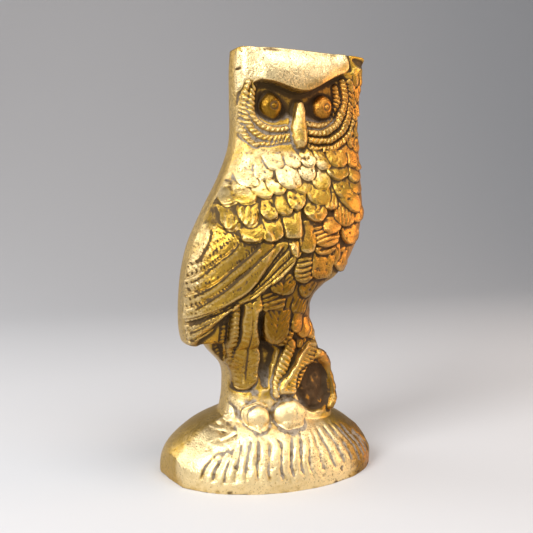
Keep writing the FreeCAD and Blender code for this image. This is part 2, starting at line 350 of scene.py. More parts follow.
mass([(29.4, 163.8), (37.6, 164.2), (37.6, 160.4), (33.6, 160.6)], -0.9, 1.6)
mass([(29.6, 158.6), (34.6, 161.6), (36.4, 160.4), (31.4, 156.4)], 0.5, 1.4)
base += 0.1 * noise(2.5, 31) + 0.05 * noise(1.0, 32)
sheet[:] = base
# grain on the upper chest, behind the right disc, on the left temple and in the branch
sheet += (ease((127.5 - Z) / 3) * ease((Z - 106) / 6) * ease((5 - X) / 8)
          * (0.07 * PITS + 0.09 * noise(1.25, 33)))
sheet += (ease((X - 29.5) / 1.5) * ease((158 - Z) / 3) * ease((Z - 119) / 3)
          * 0.2 * np.abs(noise(0.75, 11)))
sheet += ease((-14.6 - X) / 1.0) * ease((165 - Z) / 3) * ease((Z - 130) / 4) * 0.14 * PITS
hollow_floor = zone([(6, 40), (12, 42), (18, 40), (20, 34), (20, 26), (14, 25), (8, 26),
                     (5, 32)], 2)
sheet += hollow_floor * (0.5 * noise(1.5, 12) + 0.12 * noise(0.75, 13) + 0.1 * PITS)
print("masses from", round(float(base.min()), 1), "to", round(float(base.max()), 1), "mm")

# %% [markdown]
# The face: each eye sits in a pit under the brow, ringed by ropes of short radiating strokes,
# the cast version of an owl's facial disc. The beak is a long drop between the discs.

# %% Face
ROPE_WIDTH, ROPE_RISE = 1.1, 0.8
ROPE = dict(kind="bars", crease=0.4, taper=(0.8, 1, 0.85), pitch=1.8, slope=-0.5, beads=0.34)
for points, width, rise in (
        ([(-15.4, 143), (-16.2, 137.5), (-15.4, 132.6), (-13, 129.4), (-11, 128.4)], 2.0, 0.5),
        ([(-10, 128.7), (-5, 128.9), (0, 129.6), (2.6, 130.4)], 1.5, 0.35),
        ([(-13.6, 151), (-14.6, 147.6), (-14.6, 143), (-14.4, 138.5), (-13, 134.6), (-10.6, 132),
          (-7, 130.9), (-2.5, 130.9), (2, 131.6)], 2.5, 0.55),
        ([(-10.6, 151.4), (-12, 148), (-12.4, 143.5), (-11.8, 139.4), (-9.8, 136.6), (-7, 135),
          (-3.4, 134.4), (1, 134.8)], 2.4, 0.75),
        ([(32, 144), (31.9, 138.5), (29.8, 133.6), (25.5, 129.8), (20.5, 127.9), (15.5, 127.3),
          (10.4, 128.6)], 2.3, 0.6),
        ([(29, 154.4), (30.6, 149), (30.4, 143), (28.2, 137.2), (24.8, 133.3), (20.5, 131.2),
          (15.5, 130.4), (10.8, 131)], 2.5, 0.75),
        ([(26.4, 154.6), (27.8, 149.6), (27.3, 144.4), (25.6, 140), (22.8, 136.7), (19.2, 134.4),
          (15.2, 133.4), (11, 134)], 2.5, 0.85),
        ([(23.6, 152), (24.7, 148), (24, 143.6), (21.6, 139.6), (18, 137), (14.2, 136.4),
          (11.2, 137.4)], 2.3, 0.95)):
    from_brow = points[0][1] > 150         # these ropes grow out from under the brow
    ribbon(points, width * ROPE_WIDTH, rise=rise * ROPE_RISE, dome=0.3,
           start=0.0 if from_brow else 1.0, **ROPE)
for centre, rx, rz in (((-4.4, 142.8), 4.5, 5.1), ((18.2, 143.6), 4.6, 5.0)):
    lump(centre, rx, rz, 4.0, ground=FACE_DEPTH, crease=0.5)
    w = Window([(centre[0] + 0.5, centre[1] + 0.4)], 3.5)
    r = np.hypot(w.x - centre[0] - 0.6, w.z - centre[1] - 0.4)
    sheet[w.at] += -0.45 * np.exp(-((r - 1.4) / 0.45) ** 2) + 0.45 * np.exp(-(r / 0.75) ** 2)
beak = curve([(7.4, 144.6), (7.0, 140), (6.6, 135), (6.3, 128)])
w = Window(beak, 6)
d, s, side, length = to_line(w.x, w.z, beak)
half = np.interp(s, [0, 0.12, 0.3, 0.6, 0.8, 0.92, 1], [1.3, 2.1, 2.8, 3.7, 3.6, 2.7, 1.6])
t = side * d / half
ridge = np.interp(s, [0, 0.2, 0.6, 0.9, 1], [0.6, 1.9, 3.4, 3.0, 1.8])
lay(w, d - half, ridge * (1 - 0.75 * np.abs(t) ** 2.2) + 0.05 * PITS[w.at], edge=0.8, crease=0.7)
groove([(28.8, 165.5), (29, 161.5), (29.6, 158)], 1.4, 0.5, fade=0.1)
for x, z, run in ((31.2, 150, 5), (33, 153, 5), (32.6, 145, 5), (34.4, 147, 5), (33.6, 139, 5),
                  (33, 133, 4), (35, 141, 5), (30.4, 128.6, 4), (33.4, 127, 4)):
    feather((x, z), 3.0, run, -8, "strokes", rise=0.45, dome=0.15)
print("face carved")

# %% [markdown]
# The breast feathers overlap like tiles, so they are laid from the lowest upwards. The upper
# ones are shallow and rubbed almost smooth; lower down some are cut with bars across, some
# with strokes along, and a large leaf lies over the thigh.

# %% Breast, belly and thigh
FEATHERS = [
    # tip, width, length, lean, kind, rise, dome, and for some also square, turn
    ((3.6, 62.5), 8, 9, 10, "strokes", 0.6, 0.3, 0.45, 20),
    ((-9.5, 65), 11, 8, 12, "bars", 0.9, 0.4, 0.45, -20),
    ((5, 70.6), 7.5, 7.5, 25, "rough", 0.8, 0.3),
    ((-5.2, 71.6), 11, 8, 5, "leaf", 1.0, 0.4),
    ((23.5, 80), 7.5, 9, -15, "rough", 1.0, 0.3),
    ((18.2, 82.6), 6.5, 8, -10, "strokes", 0.9, 0.3, 0.45, 20),
    ((2.6, 76.4), 9.5, 9.5, 18, "bars", 1.1, 0.4, 0.45, -25),
    ((12.5, 77.4), 10.5, 11.5, 0, "rough", 1.2, 0.3, 0.7),
    ((12.6, 86.6), 10, 5, 0, "bars", 1.1, 0.3, 0.45, -12),
    ((-1.2, 51.4), 8.4, 10.5, -8, "bars", 1.3, 0.5, 0.45, 28),
    ((-6.8, 53), 11, 13.2, 6, "leaf", 1.9, 0.9, 0.6),
    ((10.8, 50.6), 11, 5.5, -20, "strokes", 0.9, 0.5, 0.45, 30),
    ((12.6, 53.6), 7, 8, -20, "plain", 1.2, 0.6),
    ((7.6, 54.4), 6.6, 8, -4, "plain", 1.5, 0.7, 0.5),
    ((3.2, 56.6), 5.6, 8, 8, "plain", 1.3, 0.6, 0.6),
    ((26, 90.5), 10, 9, -8, "rough", 1.4, 0.5),
    ((13.6, 89.6), 12.5, 10.4, -6, "bars", 1.4, 0.6, 0.45, -8),
    ((31, 99.6), 10, 8.5, -25, "plain", 1.2, 0.3),
    ((15.6, 94.6), 8, 6.5, -6, "plain", 1.9, 0.5),
    ((22, 97.4), 10.5, 9.4, 0, "strokes", 1.4, 0.5, 0.45, 14),
    ((-0.6, 86.0), 5.8, 7.5, 6, "plain", 1.0, 0.3, 0.6),
    ((5, 87.6), 7.6, 12, -8, "plain", 1.5, 0.4, 0.55),
    ((-0.9, 92.8), 8.0, 10, -8, "plain", 1.5, 0.3, 0.75),
    ((-9.6, 92.3), 8.6, 9.8, -8, "rough", 1.5, 0.3, 0.75),
    ((-17.8, 91.7), 8.6, 9.4, -6, "plain", 1.5, 0.35, 0.75),
    ((8.6, 99.4), 9.8, 8.4, 0, "pitted", 1.5, 0.6),
    ((15.8, 103.6), 6.6, 6.5, 0, "strokes", 1.2, 0.3, 0.45, 20),
    ((-25.2, 95.8), 6.4, 9.5, 12, "strokes", 1.2, 0.3),
    ((-19.2, 97.8), 7.8, 9.5, 14, "strokes", 1.3, 0.3, 0.45, 10),
    ((-11.8, 100.2), 7.2, 8.5, 20, "rough", 1.2, 0.3),
    ((-6.0, 101.6), 7.4, 8.5, 20, "rough", 1.2, 0.3),
    ((-0.4, 103.4), 7.4, 8, 16, "pitted", 1.2, 0.3),
    ((30, 103.4), 8.6, 14, -40, "plain", 1.5, 0.4),
    ((10.6, 105.6), 10.6, 9.5, 5, "plain", 0.96, 0.21),
    ((24.4, 108.4), 10, 8.4, -10, "rough", 1.1, 0.3),
    ((31.4, 110.2), 8, 6.4, -10, "plain", 1.0, 0.2),
    ((-24.4, 104.8), 5.6, 10, 22, "plain", 0.88, 0.14),
    ((-19, 105.6), 7.6, 9.4, 16, "plain", 0.96, 0.14),
    ((-12.4, 107.8), 8.4, 8.5, 12, "plain", 0.8, 0.14),
    ((-6.4, 109.2), 8.2, 8.5, 12, "plain", 0.8, 0.14),
    ((3.4, 109.6), 7.4, 8, 10, "plain", 0.8, 0.14),
    ((13.2, 111.2), 8.4, 8.5, 0, "plain", 0.8, 0.14),
    ((-0.4, 111.3), 10, 11, 0, "plain", 0.96, 0.17),
    ((-16.5, 112.2), 7.4, 6.5, 10, "plain", 0.48, 0.07),
    ((-10, 114.6), 7, 6.5, 5, "plain", 0.44, 0.07),
    ((7.6, 114.6), 7, 8.4, 0, "plain", 0.88, 0.14),
    ((30, 114.8), 8.6, 7.4, 5, "plain", 1.1, 0.25),
    ((21.6, 115.4), 10, 7.6, 0, "plain", 1.2, 0.25),
    ((-5, 118.6), 7.4, 6, -5, "plain", 0.4, 0.07),
    ((2.2, 119.4), 6.4, 6, 5, "plain", 0.48, 0.1),
    ((33.4, 119.6), 5, 5, 0, "plain", 0.9, 0.2),
    ((15, 119.4), 7.4, 6.4, 10, "plain", 1.0, 0.2),
    ((29.4, 120.6), 6.6, 6.4, 10, "plain", 1.0, 0.2),
    ((22.2, 120.4), 9.4, 7, 0, "plain", 1.0, 0.2),
    ((10.6, 120.6), 6.4, 6, -30, "plain", 0.72, 0.14),
    ((8.6, 124), 4.4, 4, -20, "plain", 0.48, 0.14),
    ((14.6, 123.4), 4.6, 4, -8, "plain", 0.6, 0.2),
]
WORN_ABOVE, WORN_BESIDE = 104, 16        # the upper chest is rubbed flat
for tip, *form in FEATHERS:
    worn = tip[1] > WORN_ABOVE and tip[0] < WORN_BESIDE
    feather(tip, *form, crease=0.2 if worn else 0.45)
print(len(FEATHERS), "feathers laid")

# %% [markdown]
# The folded wing is one slab. Its long flight feathers are cut as edges running down to the
# bird's back, each a fine line with the metal lifted just below it, and crossed by rows of
# short nicks, the barbs.

# %% Wing
wing = [(-31, 99), (-26, 97), (-14, 91.6), (-5, 91.8), (0, 91), (-1, 83), (-6, 79), (-12, 74.6),
        (-18.6, 69.8), (-24, 67.4), (-28, 62), (-32, 57.6), (-37, 53), (-42, 52), (-42, 84),
        (-34, 88)]
w = Window(wing, 2)
on_wing = ease(0.5 - to_outline(w.x, w.z, wing) / 1.2)
nick = np.cos(2 * np.pi * (w.x + 0.25 * w.z + 0.3 * noise(1.5, 41)[w.at]) / 1.15)
rows = ease(0.35 + np.cos(2 * np.pi * (w.z - 0.72 * w.x + 0.6 * noise(2.5, 42)[w.at]) / 3.0))
patch = ease(0.6 + 0.5 * noise(1.2, 43)[w.at])
nicks = np.zeros(X.shape)                # remembered, to hold dirt later
nicks[w.at] = on_wing * np.clip(nick, 0, 1) ** 2 * rows * patch
sheet[w.at] += on_wing * (0.6 + 0.1 * PITS[w.at]) - 0.42 * nicks[w.at]
for points, rise in (
        ([(-22.7, 91), (-25.4, 87.8), (-28.3, 85.4), (-33.2, 81), (-37.8, 76.5)], 0.75),
        ([(-15.5, 90), (-19.4, 86.6), (-24.2, 82.4), (-30.8, 76.4), (-37.8, 71.4)], 0.85),
        ([(-9.4, 90.4), (-14.7, 86), (-19.2, 81.8), (-26.8, 75.1), (-30.6, 72.4), (-38, 66.4)],
         0.85),
        ([(-2.6, 90.4), (-8, 85.6), (-12, 80.4), (-14.6, 77.6), (-18.6, 73.8)], 0.45),
        ([(-1.6, 87.4), (-7.4, 82.4), (-13, 77), (-19, 72.4)], 0.4),
        ([(-1.2, 85), (-6.7, 80.6), (-12.4, 76), (-19.6, 70.8)], 0.4),
        ([(-22.8, 69.6), (-26, 67.4), (-30.8, 65), (-38.4, 60.8)], 0.5),
        ([(-27.8, 65.8), (-31.4, 62.6), (-38, 58)], 0.4),
        ([(-26.6, 64.8), (-29.6, 61), (-33.4, 57.6), (-37.6, 54.6)], 0.35)):
    shingle(points, rise, reach=2.6)
shingle([(-39, 62.2), (-32.4, 66), (-26.8, 69), (-21.6, 71.8), (-17.6, 75.2), (-15, 78),
         (-12.6, 81.6), (-9.2, 86.6), (-5.4, 90.8)], 0.9, cut=0.9)
groove([(-30.2, 98), (-31.4, 93), (-33.6, 88), (-36.4, 83.4)], 1.1, 0.8)
groove([(-17, 80.4), (-21, 77), (-27, 71.8)], 0.7, 0.2)
print("wing cut")

# %% [markdown]
# Below the wing hangs the tail, built of beaded quills over one broad feather with a rounded
# end. Beside it stands the near leg, a ribbon cut across into bars.

# %% Tail and near leg
ribbon([(-26.5, 64), (-25.8, 56), (-24.6, 49), (-22.6, 43)], 2.6, rise=-0.5, dome=0.4, kind="beads",
       pitch=1.5, slope=0.4, beads=0.16)
ribbon([(-23.4, 67.5), (-22.8, 58), (-21.4, 49.5), (-20, 43)], 3.6, rise=0.7, dome=0.5,
       kind="beads", pitch=1.7, slope=0.3, taper=(0.9, 1, 0.9), beads=0.24)
tail = [(-20.8, 76), (-14.6, 76), (-12.6, 63), (-11.2, 53), (-10.9, 46), (-10.9, 41), (-12.4, 37.6),
        (-16, 34.8), (-19.4, 35.4), (-20.8, 42), (-20.4, 52)]
w = Window(tail, 3)
d = np.maximum(to_outline(w.x, w.z, tail), -to_outline(w.x, w.z, wing))      # tucked under the wing
middle = np.interp(w.z, [34, 50, 60, 70], [-16.2, -16.2, -16.6, -17.6])
off = np.abs(w.x - middle)
nibs = np.clip(np.cos(2 * np.pi * (w.z - 0.3 * off) / 1.8), 0, 1)
edge_row = np.exp(-((d + 1.0) / 0.6) ** 2)
inner_row = np.exp(-((off - 1.7) / 0.5) ** 2)
value = (base[w.at] + 1.5 + 0.6 * np.clip(-d / 3, 0, 1) + 0.12 * PITS[w.at]
         - nibs * (0.3 * edge_row + 0.22 * inner_row))
lay(w, d, value, edge=1.0, crease=0.5)
groove([(-17.7, 69), (-16.7, 60), (-16.3, 50), (-16.2, 37)], 0.8, 0.45, fade=0.05)
ribbon([(2.2, 52), (0.5, 47.5), (-1.5, 42.5), (-3.6, 37), (-4.4, 34)], 4.8, rise=1.2, dome=0.7,
       kind="bars", pitch=1.9, slope=-0.3, taper=(0.9, 1, 0.9), beads=0.3)
print("tail and near leg carved")

# %% [markdown]
# The bird stands on the knuckle of a stump: two round toes in front, one of them inside a
# curled rim, and to the right a branch curling over a rough hollow. The far leg, a broad shank
# crossed by fine bars, comes down over the edge of that hollow, so it is laid last.

# %% Toes, branch and far leg
ankle = zone([(-22, 36), (4, 36), (8, 30), (8, 17), (-24, 17)], 4)
shaft = zone([(-30, 56), (-21, 56), (-20.5, 34), (-24, 28), (-30, 34)], 3)
sheet += ankle * (0.14 * noise(1.25, 72) + 0.2 * PITS) + shaft * (0.1 * noise(1.0, 73) + 0.2 * PITS)
lump((-12.7, 25.1), 4.7, 4.5, 3.4, ground=1.0, crease=0.4)
ribbon([(-9, 28.8), (-11, 30), (-13.4, 30.4), (-16, 29.2), (-17.8, 26.8), (-17.8, 24),
        (-16.2, 21.8), (-13.5, 20.6)], 1.0, rise=1.0, dome=0.4, crease=0.1, edge=0.9)
lump((0, 25.3), 6.9, 5.2, 4.0, tilt=-6, power=2.3, crease=0.45, ground=1.0)
groove([(0.6, 27.6), (1.2, 25.4), (0.4, 23.6)], 0.9, 0.25)
ribbon([(11, 47), (14.6, 47), (18.4, 45), (22, 41.2), (24, 35.4), (23.6, 29.4), (20.8, 25)], 4.4,
       rise=1.6, dome=0.8, crease=0.3, taper=(1, 0.95, 0.6), edge=1.6)
stump = zone([(4, 42), (10, 48), (20, 48), (27, 40), (27, 28), (21, 23), (6, 24)], 3)
sheet += stump * (0.26 * noise(1.25, 71) + 0.16 * PITS)
shank = [(6.4, 50.6), (9.6, 52.2), (15, 51.6), (15.4, 48.4), (13.4, 45.4), (10.9, 41), (7.8, 36),
         (5.4, 32.4), (-4.2, 33), (-3.2, 36.8), (1.0, 41.2), (4.6, 46.6)]
w = Window(shank, 3)
d = to_outline(w.x, w.z, shank) + 0.35 * noise(1.5, 74)[w.at]
q = to_line(w.x, w.z, curve([(8, 52), (5.4, 46.4), (2, 41), (-2.4, 35)]))[0]
bars = np.cos(2 * np.pi * (w.z + 0.4 * w.x + 0.3 * noise(2.0, 75)[w.at]) / 1.75)
value = (base[w.at] + 2.9 - 0.26 * np.clip(q, 0, 9) + 0.45 * np.exp(-(q / 0.6) ** 2)
         + 0.1 * PITS[w.at] + 0.26 * bars * ease((q - 0.9) / 1.2))
lay(w, d, value, edge=1.0, crease=0.5)
print("relief now up to", round(float(sheet.max()), 1), "mm")

# %% [markdown]
# Two claws grip the mound at the left. Below, it is scored with furrows that fan out like
# roots. At the end the whole sheet gets the same fine grain, and a floor it can't go under.

# %% Claws and furrows
lump((-22.4, 24.6), 2.4, 5.0, 1.3, tilt=-16, crease=0.25)
ribbon([(-22.2, 22), (-25, 20.8), (-28.8, 20.6)], 1.8, rise=0.1, dome=0.35, crease=0.12, edge=1.2,
       taper=(1, 0.8, 0.3))
ribbon([(-22.0, 20.4), (-24.6, 18.6), (-27.0, 17.6)], 1.6, rise=0.05, dome=0.3, crease=0.1,
       edge=1.2, taper=(1, 0.8, 0.3))
FURROWS = [
    [(-27.6, 14.4), (-31.6, 11.5), (-35, 7.5), (-36.8, 3)],
    [(-25.2, 15.4), (-28.8, 11.8), (-31.8, 7.4), (-33, 2.6)],
    [(-22.8, 16.4), (-26.2, 12), (-28.6, 7.4), (-29.4, 2.8)],
    [(-20.4, 16.8), (-23.4, 12), (-25.2, 7), (-25.8, 3)],
    [(-18, 17.2), (-20.6, 12), (-21.8, 7.5), (-22, 3.6)],
    [(-15.2, 17.6), (-17.2, 12), (-18, 7.5), (-17.9, 3.4)],
    [(-11.4, 17.4), (-13.2, 12), (-14, 8), (-13.8, 3.4)],
    [(-6.9, 17.6), (-8.6, 12.5), (-9.2, 8.5), (-8.4, 3.4)],
    [(-2.6, 17.4), (-4.6, 12.5), (-5, 8.5), (-4, 3.8)],
    [(1.4, 17.6), (-0.6, 12.5), (-1.1, 8.5), (0.4, 4)],
    [(5, 18), (3, 12.5), (2.3, 8.5), (4, 3.6)],
    [(7.6, 19), (7.6, 13), (8, 8.6), (9.4, 4)],
    [(10.4, 19.4), (12, 13.4), (13.2, 8.6), (14.8, 4.4)],
    [(13.8, 19.4), (17, 13.4), (18.4, 9), (19.4, 4.4)],
    [(17.4, 19), (21.4, 13), (23, 9), (24, 4.4)],
    [(20.8, 18.6), (25.8, 12.4), (27.6, 8.6), (28.6, 4)],
    [(24.2, 17.8), (29.6, 11.6), (31.6, 8), (32.4, 3.8)],
    [(27.4, 16.6), (33, 10.6), (35, 7), (35.8, 3.2)],
    [(30.6, 14.6), (36, 9.4), (37.8, 6), (38.6, 3)],
]
for n, points in enumerate(FURROWS):
    (ax, az), (bx, bz) = points[:2]
    points = [(ax - 0.3 * (bx - ax), az - 0.3 * (bz - az))] + points
    groove(points, 1.7 + 0.25 * math.sin(2.4 * n), 0.75 + 0.12 * math.sin(1.7 * n), fade=0.22)
DEEPEST = -3.3                           # never through the wall of the casting
near_furrow = ease((18 - Z) / 3) * ease((Z - 2) / 2) * ease((X + 36) / 6)
sheet += near_furrow * (0.14 * PITS + 0.1 * noise(1.0, 51))
sheet = np.maximum(sheet + 0.05 * PITS, DEEPEST)
print(len(FURROWS), "furrows; relief from", round(float(sheet.min()), 1), "mm")

# %% [markdown]
# Under the feathers the owl is a very plain form: a body with a flat crown, a column of tail
# and legs, and a low oval mound. A pattern maker would turn or bandsaw these and glue them
# up. Each is given here as a few level outlines, to be read smoothly in between.

# %% Plain form of the owl
SEAM_Y = -4.0
# height, bird's back, breast, front, rear, squareness of the front
BODY = [
    (52.0, -36.6, 18.2, -17.8, 12.8, 2.6),
    (57.0, -37.6, 15.4, -20.8, 14.0, 2.6),
    (64.0, -37.8, 14.4, -23.2, 15.4, 2.6),
    (71.0, -37.4, 16.8, -24.6, 16.8, 2.6),
    (79.0, -36.6, 27.0, -25.5, 18.0, 2.6),
    (90.0, -34.0, 34.6, -26.0, 19.0, 2.6),
    (104.0, -27.5, 38.2, -25.0, 19.0, 2.6),
    (118.0, -20.5, 37.6, -20.0, 16.0, 3.0),
    (128.0, -17.0, 36.6, -16.5, 14.0, 4.0),
    (146.0, -16.5, 36.6, -15.0, 12.0, 5.0),
    (158.0, -17.0, 37.6, -15.5, 8.5, 6.0),
    (165.0, -17.0, 38.6, -15.0, 4.0, 6.0),
]
COLUMN = [
    (10.0, -25.0, 26.0, -21.0, 14.0, 2.6),
    (22.0, -22.0, 25.0, -20.0, 13.0, 2.6),
    (34.0, -20.0, 25.0, -18.0, 12.5, 2.8),
    (43.0, -20.8, 21.5, -17.0, 12.5, 2.8),
    (51.0, -27.5, 18.4, -17.5, 12.5, 2.8),
    (62.0, -29.0, 13.0, -18.0, 12.5, 2.8),
]
MOUND = [(0.0, 1.0), (3.5, 1.0), (7.5, 0.985), (11.5, 0.935), (16.0, 0.83), (20.0, 0.70),
         (25.0, 0.44)]
BASE_HALF_LENGTH, BASE_HALF_DEPTH = 44.2, 34.5
WALL = 4.0
BRAZE_DEPTH = 2.8
BRAZE_HALF = 1.3
END_GRIND, END_ANGLE = 2.2, math.radians(7.5)
REAR_SQUARE = 2.4
SAMPLES = 1000                  # along each half of an outline, before it is spaced evenly

print(len(BODY), "outlines for the body,", len(COLUMN), "for the column,", len(MOUND),
      "for the mound")

# %% [markdown]
# A smooth curve through the rows of a table gives an outline at any height. The seam plane
# cuts each outline in two, and both parts are spaced evenly, the front one much more finely,
# because all the carving is there.

# %% Outlines
def along(table, z):
    """Smooth curve through the rows of a table, read at the heights z."""
    t = np.array(table)
    slope = np.gradient(t[:, 1:], t[:, 0], axis=0)
    z = np.clip(z, t[0, 0], t[-1, 0])
    i = np.clip(np.searchsorted(t[:, 0], z) - 1, 0, len(t) - 2)
    run = t[i + 1, 0] - t[i, 0]
    f = ((z - t[i, 0]) / run)[:, None]
    run = run[:, None]
    a, b = t[i, 1:], t[i + 1, 1:]
    return (a * (1 + 2 * f) * (1 - f) ** 2 + slope[i] * run * f * (1 - f) ** 2
            + b * f * f * (3 - 2 * f) + slope[i + 1] * run * f * f * (f - 1))

def even_ring(x, y, n_front, n_rear):
    """Re-space one closed outline evenly: front half first, from -X round to +X."""
    out = []
    for part, n in ((slice(0, SAMPLES + 1), n_front), (slice(SAMPLES, None), n_rear)):
        px, py = x[part], y[part]
        run = np.concatenate([[0], np.cumsum(np.hypot(np.diff(px), np.diff(py)))])
        s = np.linspace(0, run[-1], n + 1)[:-1]
        out.append(np.stack([np.interp(s, run, px), np.interp(s, run, py)], 1))
    return np.concatenate(out)

def section_ring(row, inset, n_front, n_rear):
    """Outline of body or column at one height."""
    back, breast, front, rear, square = row
    middle, half = (back + breast) / 2, (breast - back) / 2 - inset
    t = np.linspace(np.pi, 3 * np.pi, 2 * SAMPLES + 1)
    c, s = np.cos(t), np.sin(t)
    power = np.where(s < 0, 2 / square, 2 / REAR_SQUARE)
    reach = np.where(s < 0, SEAM_Y - front, rear - SEAM_Y) - inset
    x = middle + half * np.sign(c) * np.abs(c) ** power
    y = SEAM_Y + reach * np.sign(s) * np.abs(s) ** power
    return even_ring(x, y, n_front, n_rear)

def oval_ring(share, inset, n_front, n_rear):
    """Outline of the mound at one height."""
    a, b = BASE_HALF_LENGTH * share - inset, BASE_HALF_DEPTH * share - inset
    start = math.asin(SEAM_Y / b)          # the outline starts where it crosses the seam
    t = np.concatenate([np.linspace(np.pi - start, 2 * np.pi + start, SAMPLES + 1),
                        np.linspace(2 * np.pi + start, 3 * np.pi - start, SAMPLES + 1)[1:]])
    return even_ring(a * np.cos(t), b * np.sin(t), n_front, n_rear)

print("half length of the mound at mid height:",
      round(float(oval_ring(along(MOUND, np.array([12.5]))[0, 0], 0, 90, 40)[:, 0].max()), 1), "mm")

# %% [markdown]
# Stacked up, the outlines make a grid of points: rows up, columns round. The same stack drawn
# in by the thickness of the wall gives the core that leaves the casting hollow. Rims are
# eased over, since sand never keeps a sharp edge.

# %% Stacks
CROWN_ROUND, LOWER_ROUND = 0.7, 2.2      # how far the two rims of the body are eased over
BELOW_FOOT = -2.0                        # the core reaches out under the foot

def eased_rim(away, reach):
    """How far a rounded rim is drawn in, at a distance from the end."""
    return reach * (1 - np.sqrt(np.clip(1 - (1 - np.clip(away / reach, 0, 1)) ** 2, 0, 1)))

def lifted(rings, heights):
    return np.stack([np.column_stack([r, np.full(len(r), z)]) for r, z in zip(rings, heights)])

def stack(kind, inset=0.0, step=0.3, n_front=380, n_rear=160):
    """Grid of points (rows up, columns round) over one of the three plain forms."""
    if kind == "mound":
        table = np.array(MOUND)
        top = table[-1, 0] - inset
        heights = np.arange(0, top + 1e-6, step)
        full = np.arange(0, table[-1, 0] + 0.01, 0.25)
        share = np.interp(heights * table[-1, 0] / top, full, along(MOUND, full)[:, 0])
        rings = [oval_ring(s, inset, n_front, n_rear) for s in share]
        return lifted(rings, [z if z > 0 or inset == 0 else BELOW_FOOT for z in heights])
    table = BODY if kind == "body" else COLUMN
    low, high = table[0][0], table[-1][0]
    if kind == "body":
        low, high = low + inset, high - inset
    heights = np.linspace(low, high, int((high - low) / step) + 1)
    rows = along(table, heights)
    if kind == "body" and inset == 0:
        draw = eased_rim(high - heights, CROWN_ROUND) + eased_rim(heights - low, LOWER_ROUND)
    else:
        draw = np.zeros_like(heights)
    rings = [section_ring(r, inset + d, n_front, n_rear) for r, d in zip(rows, draw)]
    return lifted(rings, heights)

print("body grid", stack("body").shape[:2])

# %% [markdown]
# Now the relief goes on. Each point of the front is pushed out, or in, along its own
# direction, leaning to the front as the mould was drawn. The relief dies away towards the
# seam, where the real owl is filed smooth, and the two ends of the mound are ground flat.

# %% Carving
DRAW = np.array([0, -0.25, 0])           # the pull of the mould, to the front
BY_BACK, BY_BREAST, BY_MOUND = 8.0, 5.5, 6.0     # where the relief has died away, in Y

def grid_normals(p):
    across = np.roll(p, -1, axis=1) - np.roll(p, 1, axis=1)
    up = np.gradient(p, axis=0)
    n = np.cross(across, up)
    return n / np.maximum(np.linalg.norm(n, axis=2, keepdims=True), 1e-9)

def read_map(a, x, z):
    """Value of a painted map at the places (x, z)."""
    u = np.clip((x - X0) / STEP, 0, a.shape[1] - 1.001)
    v = np.clip((z - Z0) / STEP, 0, a.shape[0] - 1.001)
    i, j = v.astype(int), u.astype(int)
    f, g = v - i, u - j
    return (a[i, j] * (1 - f) * (1 - g) + a[i, j + 1] * (1 - f) * g
            + a[i + 1, j] * f * (1 - g) + a[i + 1, j + 1] * f * g)

def carve(p, relief):
    """Push the front of a form out (or in) by the relief."""
    n = grid_normals(p)
    lean = 0.75 * n + DRAW
    lean /= np.linalg.norm(lean, axis=2, keepdims=True)
    depth = read_map(relief, p[..., 0], p[..., 2])
    beside = np.where(p[..., 0] < 0, BY_BACK, BY_BREAST)
    near = np.where(p[..., 2] > MOUND[-1][0], beside, BY_MOUND)
    fade = ease((-p[..., 1] - near) / 3.0)
    return p + lean * (depth * fade)[..., None]

def grind_ends(p):
    """Flats ground across the seam at both ends of the mound."""
    out = p.copy()
    reach = (BASE_HALF_LENGTH - END_GRIND) + np.tan(END_ANGLE) * (p[..., 1] - SEAM_Y)
    out[..., 0] = np.clip(p[..., 0], -reach, reach)
    return out

body = carve(stack("body"), sheet)
print("carved body reaches", round(float(body[..., 1].min()), 1), "mm to the front")

# %% [markdown]
# A flat grid from the add menu is rolled into a tube along those points, welded along its
# seam and closed at both ends.

# %% Wrapping
def wrap(name, p):
    """A grid, wrapped round into a tube along the points p, welded and closed at both ends."""
    rows, cols = p.shape[:2]
    bpy.ops.object.select_all(action="DESELECT")
    bpy.ops.mesh.primitive_grid_add(x_subdivisions=cols, y_subdivisions=rows - 1, size=2.0)
    piece = bpy.context.object
    piece.name = piece.data.name = name
    flat = np.empty((rows * (cols + 1), 3), dtype=np.float32)
    piece.data.vertices.foreach_get("co", flat.reshape(-1))
    col = np.round((flat[:, 0] + 1) / 2 * cols).astype(int) % cols
    row = np.round((flat[:, 1] + 1) / 2 * (rows - 1)).astype(int)
    tube = (p[row, col] * MM).astype(np.float32)
    piece.data.vertices.foreach_set("co", tube.reshape(-1))
    bpy.ops.object.mode_set(mode="EDIT")
    for operator, settings in ((bpy.ops.mesh.remove_doubles, {"threshold": 1e-7}),
                               (bpy.ops.mesh.fill_holes, {"sides": 0}),
                               (bpy.ops.mesh.normals_make_consistent, {"inside": False})):
        bpy.ops.mesh.select_all(action="SELECT")
        operator(**settings)
    bpy.ops.object.mode_set(mode="OBJECT")
    return piece

print("a grid for the body has", body.shape[0] * body.shape[1], "points")

# %% [markdown]
# Whole pieces are cut, copied and cleared away with the same few modifiers and operators.

# %% Helpers for whole pieces
FAR = 200

def only(piece):
    bpy.ops.object.select_all(action="DESELECT")
    piece.select_set(True)
    bpy.context.view_layer.objects.active = piece

def finish_modifier(piece, kind, **settings):
    only(piece)
    m = piece.modifiers.new(kind.lower(), kind)
    for key, value in settings.items():
        setattr(m, key, value)
    bpy.ops.object.modifier_apply(modifier=m.name)

def cut(piece, tool, operation="DIFFERENCE"):
    finish_modifier(piece, "BOOLEAN", object=tool, operation=operation, solver="MANIFOLD")

def copy_of(piece, name):
    twin = piece.copy()
    twin.data = piece.data.copy()
    twin.name = twin.data.name = name
    bpy.context.scene.collection.objects.link(twin)
    return twin

